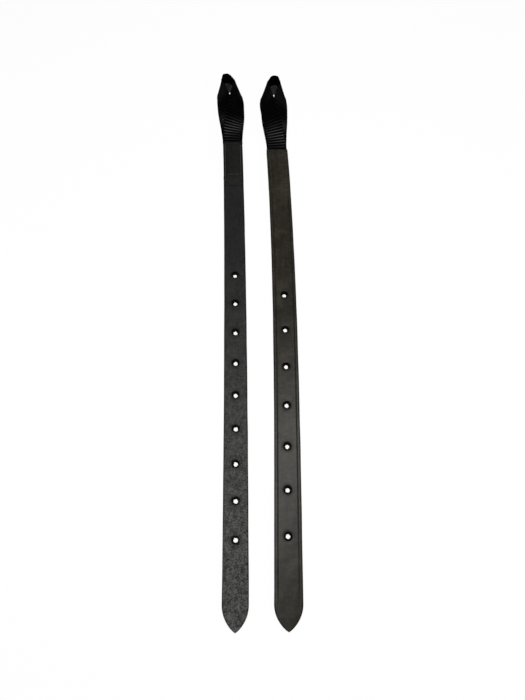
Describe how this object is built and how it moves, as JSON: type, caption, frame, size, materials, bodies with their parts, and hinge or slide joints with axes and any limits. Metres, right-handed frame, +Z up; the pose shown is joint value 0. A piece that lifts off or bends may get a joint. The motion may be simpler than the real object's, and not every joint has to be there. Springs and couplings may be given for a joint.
{
  "type": "leather strap pair with webbing loops",
  "caption": "Flat leather straps with a pointed tip, a row of punched buckle holes and a sewn end that holds a twisted webbing loop, lying side by side.",
  "frame": {"origin": "middle of the pair on the surface that it lies on", "axes": "+Y from the pointed tips to the loops, +Z up, +X from the left strap to the right one"},
  "size_m": [0.0888, 0.5814, 0.0227],
  "materials": {
    "flesh_side_leather": "matte black flesh side, mottled",
    "grain_side_leather": "satin black grain side with creased and burnished edges",
    "patch_leather": "satin black grain",
    "liner_leather": "matte brown black",
    "webbing": "ribbed black webbing with a slight sheen",
    "thread": "waxed black thread"
  },
  "bodies": {
    "straps": {"left_strap_leather": "flesh_side_leather", "left_backing_patch": "patch_leather", "left_webbing_lower_tail": "webbing", "left_webbing_upper_tail": "webbing", "left_bottom_outer_thread": "thread", "left_bottom_inner_thread": "thread", "left_top_outer_thread": "thread", "left_top_inner_thread": "thread", "left_cross_thread": "thread", "right_strap_leather": "grain_side_leather", "right_backing_patch": "patch_leather", "right_webbing_lower_tail": "webbing", "right_webbing_upper_tail": "webbing", "right_bottom_inner_thread": "thread", "right_bottom_outer_thread": "thread", "right_top_inner_thread": "thread", "right_top_outer_thread": "thread"},
    "left_loop": {"left_webbing_loop": "webbing", "left_loop_liner": "liner_leather", "left_liner_lower_thread": "thread", "left_liner_upper_thread": "thread"},
    "right_loop": {"right_webbing_loop": "webbing", "right_loop_liner": "liner_leather", "right_liner_lower_thread": "thread", "right_liner_upper_thread": "thread"}
  },
  "joints": [
    {"name": "left_loop_fold", "type": "hinge", "parent": "straps", "child": "left_loop", "pos_m": [-0.02365, 0.20115, 0.007], "axis": [1, 0, 0], "range_deg": [0, 150]},
    {"name": "right_loop_fold", "type": "hinge", "parent": "straps", "child": "right_loop", "pos_m": [0.02635, 0.19115, 0.007], "axis": [1, 0, 0], "range_deg": [0, 150]}
  ]
}
